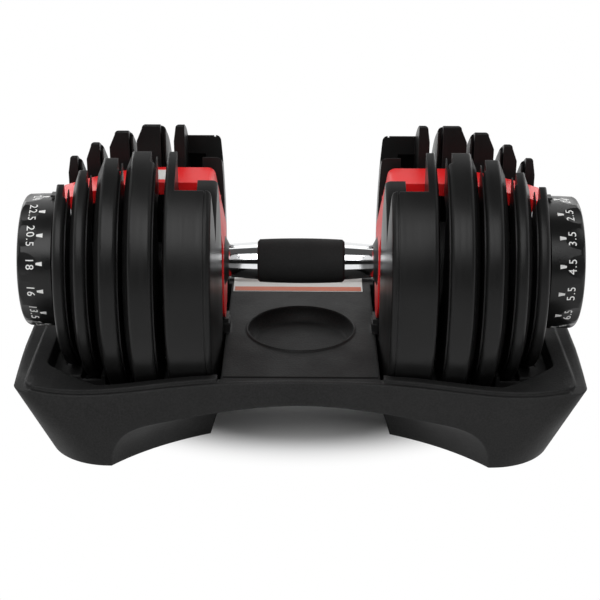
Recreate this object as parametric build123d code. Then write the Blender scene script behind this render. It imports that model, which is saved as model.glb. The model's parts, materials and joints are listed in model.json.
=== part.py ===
from build123d import *
import os
from math import cos, radians, sin

# An adjustable dumbbell in its tray. X runs along the handle, -Y is the front, Z is up, and the
# origin is at the middle of the floor under the tray. Millimetres throughout.
# The pieces of one end are modelled at +X about an axis through the origin, then lifted to the
# handle's height. The other end is the same set turned half a turn about Z.

# Handle
HANDLE_OVER_DECK = 54.5
GRIP_LENGTH = 63.0
GRIP_RADIUS = 16.4
GRIP_END_RADIUS = 15.6
GRIP_EDGE = 1.5
TUBE_RADIUS = 12.0
TUBE_SHOULDER_RADIUS = 13.8
TUBE_EXPOSED = 20.8
ROD_RADIUS = 7.0
COLLAR_LENGTH = 3.1
COLLAR_RADIUS = 18.0
RUNNING_GAP = 0.05
SEAT_GAP = 0.2
OVERCUT = 1.0

# Plates, numbered from the dial (1) inwards (5)
PLATE_1_RADIUS = 76.3
PLATE_2_RADIUS = 85.7
PLATE_3_RADIUS = 94.0
PLATE_4_RADIUS = 98.5
PLATE_5_RADIUS = 98.5
PLATE_1_THICKNESS = 9.5
PLATE_2_THICKNESS = 11.7
PLATE_3_THICKNESS = 16.5
PLATE_4_THICKNESS = 20.5
PLATE_5_THICKNESS = 8.0
PLATE_1_SPACE_INSIDE = 4.3
PLATE_2_SPACE_INSIDE = 5.5
PLATE_3_SPACE_INSIDE = 3.5
PLATE_4_SPACE_INSIDE = 6.5
PLATE_1_POCKET_DEPTH = 2.4
PLATE_2_POCKET_DEPTH = 1.7
PLATE_3_POCKET_DEPTH = 2.0
PLATE_4_POCKET_DEPTH = 3.0
PLATE_1_BEVEL_WIDTH = 1.7
PLATE_2_BEVEL_WIDTH = 3.6
PLATE_3_BEVEL_WIDTH = 4.2
PLATE_4_BEVEL_WIDTH = 4.1
PLATE_5_BEVEL_WIDTH = 1.4
BEVEL_HEIGHT = 12.0
RIM_ROUND = 3.0
MOUTH_ROUND = 1.5
SHOULDER_INSET = 4.5
SHOULDER_WIDTH = 22.0
SHOULDER_PROUD = 0.9
SLOT_HALF_WIDTH = 31.0
TAB_HALF_WIDTH = 6.0
TAB_HEIGHT = 4.2

# The innermost plate has a deep drum beside its rim disc
DRUM_LENGTH = 24.8
DRUM_EDGE_ROUND = 3.6
DRUM_DOME = 4.0
DRUM_FACE_SINK = 1.0
DRUM_FLAT_RADIUS = 30.0
DRUM_GROOVE_WIDTH = 1.2
DRUM_GROOVE_DEPTH = 0.8
DRUM_GROOVE_INSET = 4.0
NOTCH_HALF_WIDTH = 63.0
NOTCH_FLOOR_RADIUS = 75.0
NOTCH_FLOOR_ROUND = 6.0
LOCK_SLOT_HALF_WIDTH = 26.0
LOCK_SLOT_DEPTH = 56.0
LOCK_SLOT_ROUND = 10.0
DRUM_HOLLOW_WIDTH = 13.0
DRUM_HOLLOW_RADIUS = 88.0
DRUM_DISC_SPACE = 6.5

# Selector discs and their sleeve
DISC_RADIUS = 45.0
DISC_THICKNESS = 2.0
DISC_HUB_RADIUS = 13.0
FLANGE_INNER_RADIUS = 36.0
FLANGE_THICKNESS = 4.5
FLANGE_CLEARANCE = 0.6
TAB_CLEARANCE = 0.8
POCKET_CLEARANCE = 1.5
SLEEVE_FLATS = 17.0
JOURNAL_RADIUS = 10.4
LOCK_RING_RADIUS = 16.0
LOCK_RING_THICKNESS = 4.0
LOCK_NOTCH_WIDTH = 3.4
LOCK_NOTCH_DEPTH = 3.0

# Plates carried at each dial setting, from the heaviest setting on
SETTINGS = [
    (1, 2, 3, 4, 5),
    (),
    (1,),
    (2,),
    (1, 2),
    (3,),
    (1, 3),
    (2, 3),
    (1, 2, 3),
    (2, 4),
    (3, 4),
    (4, 5),
    (2, 4, 5),
    (3, 4, 5),
    (2, 3, 4, 5),
]

# Dial
DIAL_SPACE = 3.5
DIAL_LENGTH = 24.5
DIAL_RADIUS = 48.5
DIAL_FACE_RADIUS = 44.0
DIAL_EDGE_ROUND = 4.0
DIAL_WALL = 3.0
DIAL_HUB_RADIUS = 16.5
DIAL_HUB_LENGTH = 13.0
SCALLOP_RADIUS = 58.8
SCALLOP_DEPTH = 1.8
SCALLOP_INSET = 1.2
CAP_RADIUS = 20.0
CAP_THICKNESS = 2.5

# End frame: flange, lock housing and arm over the plates
FLANGE_PLATE = 3.4
FRAME_HALF_WIDTH = 23.0
FRAME_BOTTOM = 43.0
FRAME_SHOULDER = 20.0
FRAME_LEAN = 7.5
ARM_HALF_WIDTH = 17.0
ARM_TOP = 65.5
ARM_DEPTH = 9.0
ARM_WALL = 2.5
ARM_CORNER_ROUND = 6.0
ARM_END_TOP = 51.5
ARM_END_DEPTH = 9.0
ARM_STRAIGHT_PAST_DRUM = 14.0
ARM_FALL_POWER = 1.5
ARM_FALL_STATIONS = 4
HOUSING_WALL = 2.0
HOUSING_TOP_WALL = 8.0
RETAINER_THICKNESS = 2.0
RETAINER_HALF_WIDTH = 20.7
RETAINER_SCREW_Y = 13.8
RETAINER_LAND = 12.0
RETAINER_ROUND = 6.0
RETAINER_CLEARANCE = 1.0
BRACKET_THICKNESS = 2.0
BRACKET_RIM = 4.0
POINTER_REACH = 5.0
POINTER_HALF_WIDTH = 4.0
POINTER_THICKNESS = 1.6
POINTER_GAP = 0.8
BRACKET_STEM_HALF_WIDTH = 8.0

# Lock that frees the dial while the dumbbell stands in its tray
YOKE_THICKNESS = 3.0
YOKE_BAR = 4.0
YOKE_WINDOW_GAP = 1.0
YOKE_LIFT = 3.2
YOKE_TOOTH = 3.5
YOKE_LEG_HALF_WIDTH = 7.0
FOOT_HEIGHT = 3.2
FOOT_REACH = 2.0
FOOT_BOTTOM = 46.8
SPRING_RADIUS = 1.8
SPRING_WIRE = 0.5
SPRING_LENGTH = 9.0

# Fasteners
SCREW_HEAD_RADIUS = 3.0
SCREW_HEAD_HEIGHT = 1.8
SCREW_SHANK_RADIUS = 1.5
SCREW_SLOT = 0.8
SCREW_LENGTH = 8.0
FLUSH_HEAD_HEIGHT = 1.1
END_SCREW_HEAD_RADIUS = 7.0
END_SCREW_HEAD_HEIGHT = 3.5
END_SCREW_SHANK_RADIUS = 4.0
END_SCREW_LENGTH = 16.0
WASHER_RADIUS = 12.5
WASHER_THICKNESS = 1.5

# Tray
DECK_HEIGHT = 65.0
DECK_LIP = 4.0
TRAY_END_ROOM = 29.8
TRAY_TOP_WIDTH = 192.0
TRAY_END_DRAFT = 20.0
TRAY_SIDE_DRAFT = 2.0
TRAY_FOOT_CORNER = 47.0
TRAY_TOP_CORNER = 2.0
TRAY_SPARE_TOP = 3.5
FOOT_PAD_LIFT = 1.2
RIM_OVER_DECK = 3.0
RIM_BEND_AT = 84.0
RIM_BEND_DROP = 4.0
RIM_LOW_INSET = 32.0
RIM_LOW_DROP = 10.0
RIM_END_INSET = 15.0
RIM_END_DROP = 8.0
RIM_CROWN_DROP = 2.0
DISH_RADIUS = 39.5
DISH_DEPTH = 10.5
DISH_FLOOR_RADIUS = 35.0
DISH_FLOOR_DROP = 1.0
DISH_WALL = 8.5
DISH_BEAD = 1.2
RIM_BAND_END = 10.5
RIM_BAND_SIDE = 4.0
RIM_BAND_RISE = 2.4
RIM_BAND_CORNER = 8.0
WELL_HALF_WIDTH = 85.0
WELL_LEDGE_DROP = 19.0
WELL_CORNER_DROP = 39.0
SADDLE_HALF_WIDTH = 42.0
WELL_END_HALF_WIDTH = 56.0
WELL_CORNER_INSET = 39.0
WELL_CORNER_ROUND = 9.0
WELL_OUTER_ROOM = 9.0
CRADLE_CLEARANCE = 1.3
CRADLE_WALL = 2.2
POST_LENGTH = 5.0
POST_INSET = 3.0
POST_HALF_WIDTH = 8.0
THROAT_DEPTH = 46.0
THROAT_HALF_WIDTH = 66.0
THROAT_KNEE_INSET = 6.0
THROAT_KNEE_HEIGHT = 20.0
THROAT_HAUNCH_INSET = 14.0
THROAT_HAUNCH_HEIGHT = 38.0
FLARE_DEPTH = 15.6
FLARE_HALF_WIDTH = 95.0
FLARE_KNEE_INSET = 8.0
FLARE_KNEE_HEIGHT = 18.0
FLARE_HAUNCH_INSET = 35.0
FLARE_HAUNCH_HEIGHT = 34.0
MOUTH_HALF_WIDTH = 135.0
MOUTH_KNEE_INSET = 11.0
MOUTH_KNEE_HEIGHT = 27.0
MOUTH_HAUNCH_INSET = 38.0
MOUTH_HAUNCH_HEIGHT = 37.0
MOUTH_RISE = 5.4
PAD_RADIUS = 8.0
PAD_THICKNESS = 2.4
PAD_NEAR_X = 112.0
PAD_FAR_X = 160.0
PAD_Y = 52.0

# The plates' sizes by number
PLATE_RADIUS = {
    1: PLATE_1_RADIUS,
    2: PLATE_2_RADIUS,
    3: PLATE_3_RADIUS,
    4: PLATE_4_RADIUS,
    5: PLATE_5_RADIUS,
}
PLATE_THICKNESS = {
    1: PLATE_1_THICKNESS,
    2: PLATE_2_THICKNESS,
    3: PLATE_3_THICKNESS,
    4: PLATE_4_THICKNESS,
    5: PLATE_5_THICKNESS,
}
PLATE_SPACE_INSIDE = {
    1: PLATE_1_SPACE_INSIDE,
    2: PLATE_2_SPACE_INSIDE,
    3: PLATE_3_SPACE_INSIDE,
    4: PLATE_4_SPACE_INSIDE,
}
POCKET_DEPTH = {
    1: PLATE_1_POCKET_DEPTH,
    2: PLATE_2_POCKET_DEPTH,
    3: PLATE_3_POCKET_DEPTH,
    4: PLATE_4_POCKET_DEPTH,
}
BEVEL_WIDTH = {
    1: PLATE_1_BEVEL_WIDTH,
    2: PLATE_2_BEVEL_WIDTH,
    3: PLATE_3_BEVEL_WIDTH,
    4: PLATE_4_BEVEL_WIDTH,
    5: PLATE_5_BEVEL_WIDTH,
}

# Places along the handle, worked out from the sizes above
GRIP_END = GRIP_LENGTH / 2
TUBE_END = GRIP_END + TUBE_EXPOSED
COLLAR_END = TUBE_END + COLLAR_LENGTH
FLANGE_END = COLLAR_END + FLANGE_PLATE
BOSS_FACE = COLLAR_END + DRUM_FACE_SINK
DRUM_FACE = BOSS_FACE + DRUM_DOME
PLATE_INNER = {5: DRUM_FACE + DRUM_LENGTH}
PLATE_OUTER = {5: PLATE_INNER[5] + PLATE_THICKNESS[5]}
for number in (4, 3, 2, 1):
    PLATE_INNER[number] = PLATE_OUTER[number + 1] + PLATE_SPACE_INSIDE[number]
    PLATE_OUTER[number] = PLATE_INNER[number] + PLATE_THICKNESS[number]
POCKET_FLOOR = {5: PLATE_INNER[5]}
DISC_INNER = {5: PLATE_INNER[5] - DRUM_DISC_SPACE}
for number in (4, 3, 2, 1):
    POCKET_FLOOR[number] = PLATE_INNER[number] + POCKET_DEPTH[number]
    spare = PLATE_SPACE_INSIDE[number] - DISC_THICKNESS
    DISC_INNER[number] = PLATE_OUTER[number + 1] + spare / 2
DIAL_INNER = PLATE_OUTER[1] + DIAL_SPACE
DIAL_OUTER = DIAL_INNER + DIAL_LENGTH
BRACKET_INNER = PLATE_OUTER[1] + (DIAL_SPACE - BRACKET_THICKNESS) / 2
BRACKET_OUTER = BRACKET_INNER + BRACKET_THICKNESS
YOKE_INNER = FLANGE_END + HOUSING_WALL
YOKE_OUTER = YOKE_INNER + YOKE_THICKNESS
YOKE_WINDOW = LOCK_RING_RADIUS + YOKE_WINDOW_GAP
YOKE_TOOTH_TIP = LOCK_RING_RADIUS + YOKE_LIFT
YOKE_TOP = YOKE_TOOTH_TIP + YOKE_TOOTH + YOKE_BAR
YOKE_HALF_WIDTH = FRAME_HALF_WIDTH - HOUSING_WALL - SEAT_GAP
YOKE_ROOM_TOP = YOKE_TOP + SPRING_LENGTH
YOKE_ROOM_BOTTOM = -YOKE_WINDOW - YOKE_BAR - YOKE_LIFT
LOCK_RING_INNER = YOKE_INNER - (LOCK_RING_THICKNESS - YOKE_THICKNESS) / 2
LOCK_RING_OUTER = LOCK_RING_INNER + LOCK_RING_THICKNESS
RETAINER_INNER = max(LOCK_RING_OUTER, YOKE_OUTER) + SEAT_GAP * 2
RETAINER_OUTER = RETAINER_INNER + RETAINER_THICKNESS
HOUSING_TOP = YOKE_ROOM_TOP + HOUSING_TOP_WALL
RETAINER_SCREWS = [
    (0, YOKE_ROOM_TOP + HOUSING_TOP_WALL / 2),
    (RETAINER_SCREW_Y, YOKE_ROOM_BOTTOM - RETAINER_LAND / 2),
    (-RETAINER_SCREW_Y, YOKE_ROOM_BOTTOM - RETAINER_LAND / 2),
]
JOURNAL_INNER = BRACKET_INNER - SEAT_GAP
JOURNAL_OUTER = BRACKET_OUTER + SEAT_GAP
ARM_END_MIDDLE = ARM_END_TOP - ARM_END_DEPTH / 2
DIAL_HUB_OUTER = DIAL_INNER + DIAL_HUB_LENGTH
FLANGE_OUTER_RADIUS = FLANGE_INNER_RADIUS + FLANGE_THICKNESS
POCKET_RADIUS = FLANGE_OUTER_RADIUS + POCKET_CLEARANCE
STEP_ANGLE = 360 / len(SETTINGS)
REACH = PLATE_RADIUS[4] + PLATE_RADIUS[5]

# Heights and lengths of the tray, which follow the deck and the plates
AXIS_HEIGHT = DECK_HEIGHT + HANDLE_OVER_DECK
ARCH_HEIGHT = DECK_HEIGHT - DISH_DEPTH - DISH_FLOOR_DROP - DISH_WALL
RIM_HEIGHT = DECK_HEIGHT + RIM_OVER_DECK
TRAY_TOP_LENGTH = 2 * (PLATE_OUTER[1] + TRAY_END_ROOM)
TRAY_BLANK_TOP = RIM_HEIGHT + TRAY_SPARE_TOP
WELL_LEDGE_HEIGHT = DECK_HEIGHT - WELL_LEDGE_DROP
WELL_CORNER_HEIGHT = DECK_HEIGHT - WELL_CORNER_DROP

AXIS = Pos(0, 0, AXIS_HEIGHT)
OTHER_END = Rot(0, 0, 180)


def turned(points):
    """A solid of revolution about the handle's axis, from points of (X, radius)."""
    return revolve(make_face(Polyline(*points, close=True)), axis=Axis.X)


def ring(inner_x, outer_x, outer_radius, inner_radius=0.0):
    """A plain tube or disc about the handle's axis."""
    return turned([
        (inner_x, inner_radius),
        (outer_x, inner_radius),
        (outer_x, outer_radius),
        (inner_x, outer_radius),
    ])


def block(x_low, x_high, half_width, z_low, z_high):
    """A box centred on Y."""
    size = (x_high - x_low, 2 * half_width, z_high - z_low)
    return Pos((x_low + x_high) / 2, 0, (z_low + z_high) / 2) * Box(*size)


def bar_of_outline(points, half_width):
    """An outline in X and Z, carried to both sides of the middle plane."""
    face = make_face(Plane.XZ * Polyline(*points, close=True))
    return extrude(face, half_width, both=True)


def hexagon_bar(x_low, x_high, flats):
    """A hexagonal bar along the handle's axis."""
    section = Plane.YZ * RegularPolygon(flats / 2, 6, major_radius=False)
    return Pos(x_low, 0, 0) * extrude(section, x_high - x_low)


def upright_slot(x_low, x_high, half_width):
    """A slot with a round bottom about the axis, open at the top."""
    return ring(x_low, x_high, half_width) + block(x_low, x_high, half_width, 0, REACH)


def lifting_tab(floor_x, tip_x):
    """The tab under the slot that rests on a selector disc's flange."""
    base = block(tip_x, floor_x, TAB_HALF_WIDTH, -SLOT_HALF_WIDTH - TAB_HEIGHT, 0)
    return base & ring(tip_x, floor_x, SLOT_HALF_WIDTH + TAB_HEIGHT, SLOT_HALF_WIDTH)


def rim_arc(x, radius, start_angle):
    """A quarter round on a rim, about a centre given by X and radius."""
    return CenterArc((x, radius), RIM_ROUND, start_angle, 90)


def slotted_outline(radius):
    """A plate seen along the handle: a circle with a slot, its mouth rounded."""
    slot = Circle(SLOT_HALF_WIDTH) + Pos(0, radius) * Rectangle(2 * SLOT_HALF_WIDTH, 2 * radius)
    outline = make_face((Circle(radius) - slot).edges())
    mouth = outline.vertices().group_by(Axis.Y)[-1]
    return fillet(mouth, MOUTH_ROUND)


def flat_plate(number):
    """A weight plate with a bevelled outer side, a slot and a recess for the selector flange."""
    radius = PLATE_RADIUS[number]
    inner_x = PLATE_INNER[number]
    outer_x = PLATE_OUTER[number]
    rim_x = outer_x - BEVEL_WIDTH[number] - RIM_ROUND
    round_radius = radius - RIM_ROUND
    edges = Polyline(
        (inner_x, round_radius),
        (inner_x, 0),
        (outer_x, 0),
        (outer_x, radius - BEVEL_HEIGHT),
        (rim_x + RIM_ROUND, round_radius),
    )
    edges += [
        rim_arc(rim_x, round_radius, 0),
        Line((rim_x, radius), (inner_x + RIM_ROUND, radius)),
        rim_arc(inner_x + RIM_ROUND, round_radius, 90),
    ]
    plate = revolve(make_face(edges), axis=Axis.X)
    shoulder_x = inner_x - SHOULDER_PROUD
    shoulder_radius = radius - SHOULDER_INSET
    plate += ring(shoulder_x, inner_x, shoulder_radius, shoulder_radius - SHOULDER_WIDTH)
    outline = Pos(shoulder_x, 0, 0) * (Plane.YZ * slotted_outline(radius))
    plate &= extrude(outline, outer_x - shoulder_x)
    plate -= upright_slot(inner_x, POCKET_FLOOR[number], POCKET_RADIUS)
    tab_tip = DISC_INNER[number] + DISC_THICKNESS + TAB_CLEARANCE
    return plate + lifting_tab(POCKET_FLOOR[number], tab_tip)


def drum_outline(clearance=0.0):
    """Half section of the innermost plate, grown by a clearance for the tray's cradle."""
    radius = PLATE_RADIUS[5] + clearance
    outer_x = PLATE_OUTER[5] + clearance
    face_x = DRUM_FACE - clearance
    boss_x = BOSS_FACE - clearance
    dome_radius = radius - DRUM_EDGE_ROUND
    rim_start = (face_x + DRUM_EDGE_ROUND, radius)
    rim_middle = (
        face_x + DRUM_EDGE_ROUND * (1 - cos(radians(45))),
        dome_radius + DRUM_EDGE_ROUND * sin(radians(45)),
    )
    bevel_top = radius - BEVEL_HEIGHT
    bevel_x = outer_x - BEVEL_WIDTH[5]
    edges = Polyline(
        (boss_x, 0),
        (outer_x, 0),
        (outer_x, bevel_top),
        (bevel_x, radius - RIM_ROUND),
    )
    edges += rim_arc(bevel_x - RIM_ROUND, radius - RIM_ROUND, 0)
    edges += Line((bevel_x - RIM_ROUND, radius), rim_start)
    edges += ThreePointArc(rim_start, rim_middle, (face_x, dome_radius))
    flat_edge = (boss_x, DRUM_FLAT_RADIUS)
    edges += TangentArc(flat_edge, (face_x, dome_radius), tangent=(0, 1))
    edges += Line(flat_edge, (boss_x, 0))
    return revolve(make_face(edges), axis=Axis.X)


def notch_floor():
    """What the notch leaves of the drum: a smaller drum with a large round on its inner edge."""
    round_start = (BOSS_FACE, NOTCH_FLOOR_RADIUS - NOTCH_FLOOR_ROUND)
    round_end = (BOSS_FACE + NOTCH_FLOOR_ROUND, NOTCH_FLOOR_RADIUS)
    bend = NOTCH_FLOOR_ROUND * (1 - cos(radians(45)))
    outer_x = PLATE_INNER[5]
    edges = Polyline(round_end, (outer_x, NOTCH_FLOOR_RADIUS), (outer_x, 0), (BOSS_FACE, 0), round_start)
    edges += ThreePointArc(round_start, (BOSS_FACE + bend, NOTCH_FLOOR_RADIUS - bend), round_end)
    return revolve(make_face(edges), axis=Axis.X)


def drum_plate():
    """The innermost plate: a rim disc with a deep drum, a wide notch and a slot for the lock."""
    hollow_x = PLATE_INNER[5] - DRUM_HOLLOW_WIDTH
    groove_x = DRUM_FACE + DRUM_GROOVE_INSET
    plate = drum_outline()
    groove_floor = PLATE_RADIUS[5] - DRUM_GROOVE_DEPTH
    plate -= ring(groove_x, groove_x + DRUM_GROOVE_WIDTH, PLATE_RADIUS[5] + OVERCUT, groove_floor)
    notch = block(0, PLATE_INNER[5], NOTCH_HALF_WIDTH, 0, REACH)
    plate -= notch - notch_floor()
    plate -= ring(hollow_x, PLATE_INNER[5], DRUM_HOLLOW_RADIUS)
    plate -= block(hollow_x, PLATE_INNER[5], NOTCH_HALF_WIDTH, 0, REACH)
    outline = Pos(PLATE_INNER[5], 0, 0) * (Plane.YZ * slotted_outline(PLATE_RADIUS[5]))
    rim_disc = ring(PLATE_INNER[5], PLATE_OUTER[5], REACH)
    plate -= rim_disc - extrude(outline, PLATE_THICKNESS[5])
    lock_slot = block(BOSS_FACE - OVERCUT, hollow_x, LOCK_SLOT_HALF_WIDTH, -LOCK_SLOT_DEPTH, REACH)
    lower_edges = lock_slot.edges().filter_by(Axis.X).group_by(Axis.Z)[0]
    plate -= fillet(lower_edges, LOCK_SLOT_ROUND)
    return plate + lifting_tab(PLATE_INNER[5], DISC_INNER[5] + DISC_THICKNESS + TAB_CLEARANCE)


def sector(x_low, x_high, middle_angle, width_angle, inner_radius, outer_radius):
    """Part of a tube about the axis, its middle at an angle counted from straight down."""
    low = radians(middle_angle - width_angle / 2)
    high = radians(middle_angle + width_angle / 2)
    middle = radians(middle_angle)

    def point(radius, angle):
        return (radius * sin(angle), -radius * cos(angle))

    inside = [point(inner_radius, angle) for angle in (low, middle, high)]
    outside = [point(outer_radius, angle) for angle in (high, middle, low)]
    edges = ThreePointArc(*inside) + ThreePointArc(*outside)
    edges += [Line(inside[-1], outside[0]), Line(outside[-1], inside[0])]
    return Pos(x_low, 0, 0) * extrude(Plane.YZ * make_face(edges), x_high - x_low)


def selector_runs(number):
    """Runs of neighbouring settings that carry a plate, as (first setting, count)."""
    count = len(SETTINGS)
    runs = []
    for index, carried in enumerate(SETTINGS):
        if number in carried and number not in SETTINGS[index - 1]:
            length = 1
            while number in SETTINGS[(index + length) % count]:
                length += 1
            runs.append((index, length))
    return runs


def selector_disc(number):
    """A disc on the dial's sleeve, with flanges at the settings that carry its plate."""
    inner_x = DISC_INNER[number]
    outer_x = inner_x + DISC_THICKNESS
    hub_end = JOURNAL_INNER if number == 1 else DISC_INNER[number - 1]
    disc = ring(inner_x, outer_x, DISC_RADIUS) + ring(inner_x, hub_end, DISC_HUB_RADIUS)
    flange_end = POCKET_FLOOR[number] - FLANGE_CLEARANCE
    for first, length in selector_runs(number):
        middle = (first + (length - 1) / 2) * STEP_ANGLE
        width = length * STEP_ANGLE
        disc += sector(inner_x, flange_end, middle, width, FLANGE_INNER_RADIUS, FLANGE_OUTER_RADIUS)
    return disc - hexagon_bar(inner_x, hub_end, SLEEVE_FLATS + 2 * RUNNING_GAP)


def selector_sleeve():
    """The hexagonal sleeve that joins the dial to its discs, with a round journal in the bracket."""
    sleeve = hexagon_bar(LOCK_RING_INNER, DIAL_HUB_OUTER, SLEEVE_FLATS)
    sleeve += ring(JOURNAL_INNER, JOURNAL_OUTER, JOURNAL_RADIUS)
    return sleeve - ring(LOCK_RING_INNER, DIAL_HUB_OUTER, ROD_RADIUS + RUNNING_GAP)


def lock_ring():
    """A ring with a notch for each setting, and a hub up to the first selector disc."""
    body = ring(LOCK_RING_INNER, LOCK_RING_OUTER, LOCK_RING_RADIUS)
    body += ring(LOCK_RING_INNER, DISC_INNER[5], DISC_HUB_RADIUS)
    floor = LOCK_RING_RADIUS - LOCK_NOTCH_DEPTH
    tip = LOCK_RING_RADIUS + OVERCUT
    notch = block(LOCK_RING_INNER, LOCK_RING_OUTER, LOCK_NOTCH_WIDTH / 2, floor, tip)
    for index in range(len(SETTINGS)):
        body -= Rot(index * STEP_ANGLE, 0, 0) * notch
    return body - hexagon_bar(LOCK_RING_INNER, DISC_INNER[5], SLEEVE_FLATS + 2 * RUNNING_GAP)


def dial():
    """The knob: a cup with a finger scallop for each setting round its rim."""
    edge_x = DIAL_OUTER - DIAL_EDGE_ROUND
    bend = DIAL_EDGE_ROUND * (1 - cos(radians(45)))
    rim_edge = (edge_x, DIAL_FACE_RADIUS + DIAL_EDGE_ROUND)
    face_edge = (DIAL_OUTER, DIAL_FACE_RADIUS)
    edges = Polyline((DIAL_INNER, 0), (DIAL_OUTER, 0), face_edge)
    edges += ThreePointArc(face_edge, (DIAL_OUTER - bend, rim_edge[1] - bend), rim_edge)
    edges += Polyline(rim_edge, (DIAL_INNER, DIAL_RADIUS), (DIAL_INNER, 0))
    knob = revolve(make_face(edges), axis=Axis.X)
    front_wall = DIAL_OUTER - CAP_THICKNESS - DIAL_WALL
    knob -= ring(DIAL_INNER, front_wall, DIAL_FACE_RADIUS - DIAL_WALL, DIAL_HUB_RADIUS)
    knob -= ring(DIAL_HUB_OUTER, DIAL_OUTER - CAP_THICKNESS, WASHER_RADIUS + SEAT_GAP)
    knob -= ring(DIAL_OUTER - CAP_THICKNESS, DIAL_OUTER, CAP_RADIUS)
    knob -= hexagon_bar(DIAL_INNER, DIAL_HUB_OUTER, SLEEVE_FLATS + 2 * RUNNING_GAP)
    groove_radius = DIAL_RADIUS + SCALLOP_RADIUS - SCALLOP_DEPTH
    hollow = Pos(DIAL_OUTER - SCALLOP_INSET, 0, groove_radius) * Sphere(SCALLOP_RADIUS)
    for index in range(len(SETTINGS)):
        knob -= Rot(index * STEP_ANGLE, 0, 0) * hollow
    return knob


def dial_cap():
    """The cover over the end screw."""
    return ring(DIAL_OUTER - CAP_THICKNESS, DIAL_OUTER, CAP_RADIUS - SEAT_GAP)


def end_screw():
    """The screw and washer that keep the dial on the rod."""
    washer_x = DIAL_HUB_OUTER + SEAT_GAP
    head_x = washer_x + WASHER_THICKNESS
    rod_end = DIAL_HUB_OUTER
    washer = ring(washer_x, head_x, WASHER_RADIUS, END_SCREW_SHANK_RADIUS + SEAT_GAP)
    screw = ring(head_x, head_x + END_SCREW_HEAD_HEIGHT, END_SCREW_HEAD_RADIUS)
    screw += ring(rod_end - END_SCREW_LENGTH, head_x, END_SCREW_SHANK_RADIUS)
    socket = hexagon_bar(head_x + END_SCREW_HEAD_HEIGHT / 3, DIAL_OUTER, END_SCREW_HEAD_RADIUS)
    return washer, screw - socket


def arm_top(x):
    """Height of the arm's top above the axis, level over the drum and then falling away."""
    level_end = PLATE_OUTER[5] + ARM_STRAIGHT_PAST_DRUM
    if x <= level_end:
        return ARM_TOP
    share = (x - level_end) / (BRACKET_INNER - level_end)
    return ARM_TOP - (ARM_TOP - ARM_END_TOP) * share ** ARM_FALL_POWER


def arm_depth(x):
    """Depth of the arm, which thins towards its outer end."""
    share = (x - COLLAR_END) / (BRACKET_INNER - COLLAR_END)
    return ARM_DEPTH + (ARM_END_DEPTH - ARM_DEPTH) * share


def end_frame():
    """Flange on the handle, lock housing and arm over the plates, in one moulding."""
    lean_x = COLLAR_END + FRAME_LEAN
    flange = bar_of_outline([
        (COLLAR_END, -FRAME_BOTTOM),
        (FLANGE_END, -FRAME_BOTTOM),
        (FLANGE_END, FRAME_SHOULDER),
        (lean_x + FLANGE_PLATE, ARM_TOP - ARM_DEPTH),
        (lean_x + FLANGE_PLATE, ARM_TOP),
        (lean_x, ARM_TOP),
        (COLLAR_END, FRAME_SHOULDER),
    ], FRAME_HALF_WIDTH)
    round_centre = FRAME_HALF_WIDTH - FRAME_BOTTOM
    shield = make_face(Polyline(
        (-FRAME_HALF_WIDTH, round_centre),
        (FRAME_HALF_WIDTH, round_centre),
        (FRAME_HALF_WIDTH, FRAME_SHOULDER),
        (ARM_HALF_WIDTH, ARM_TOP - ARM_DEPTH),
        (ARM_HALF_WIDTH, ARM_TOP + OVERCUT),
        (-ARM_HALF_WIDTH, ARM_TOP + OVERCUT),
        (-ARM_HALF_WIDTH, ARM_TOP - ARM_DEPTH),
        (-FRAME_HALF_WIDTH, FRAME_SHOULDER),
        close=True,
    ))
    shield += Pos(0, round_centre) * Circle(FRAME_HALF_WIDTH)
    shield_bar = Pos(COLLAR_END, 0, 0) * extrude(Plane.YZ * shield, PLATE_INNER[5] - COLLAR_END)
    flange &= shield_bar
    housing = block(FLANGE_END, RETAINER_INNER, FRAME_HALF_WIDTH, -FRAME_BOTTOM, HOUSING_TOP)
    housing &= shield_bar
    room_x = YOKE_INNER - SEAT_GAP
    room = block(room_x, RETAINER_INNER, YOKE_HALF_WIDTH + SEAT_GAP, YOKE_ROOM_BOTTOM, YOKE_ROOM_TOP)
    leg_way = block(room_x, RETAINER_INNER, YOKE_LEG_HALF_WIDTH + SEAT_GAP, -FRAME_BOTTOM, 0)
    stations = [lean_x, PLATE_OUTER[5] + ARM_STRAIGHT_PAST_DRUM]
    fall = BRACKET_INNER - stations[1]
    for step in range(1, ARM_FALL_STATIONS + 1):
        stations.append(stations[1] + fall * step / ARM_FALL_STATIONS)
    top_line = [(x, arm_top(x)) for x in stations]
    bottom_line = [(x, arm_top(x) - arm_depth(x)) for x in reversed(stations)]
    arm = bar_of_outline(top_line + bottom_line, ARM_HALF_WIDTH)
    inside = [x for x in stations if lean_x < x < BRACKET_INNER]
    inside = [lean_x + FLANGE_PLATE] + inside + [BRACKET_INNER - ARM_WALL * 2]
    roof = [(x, arm_top(x) - ARM_WALL) for x in inside]
    open_side = [(x, arm_top(x) - arm_depth(x) - OVERCUT) for x in reversed(inside)]
    arm -= bar_of_outline(roof + open_side, ARM_HALF_WIDTH - ARM_WALL)
    frame = flange + housing + arm - room - leg_way
    top_edges = frame.edges().filter_by(Axis.Y).filter_by_position(Axis.Z, ARM_TOP, ARM_TOP)
    frame = fillet(top_edges.sort_by(Axis.X)[0], ARM_CORNER_ROUND)
    frame -= ring(COLLAR_END, room_x, ROD_RADIUS + RUNNING_GAP)
    frame -= ring(LOCK_RING_INNER - SEAT_GAP, RETAINER_INNER, YOKE_WINDOW)
    for hole in screw_holes(RETAINER_OUTER - SCREW_LENGTH, RETAINER_INNER, RETAINER_SCREWS):
        frame -= hole
    for hole in screw_holes(BRACKET_INNER - SCREW_LENGTH, BRACKET_INNER, [(0, ARM_END_MIDDLE)]):
        frame -= hole
    return frame


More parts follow.
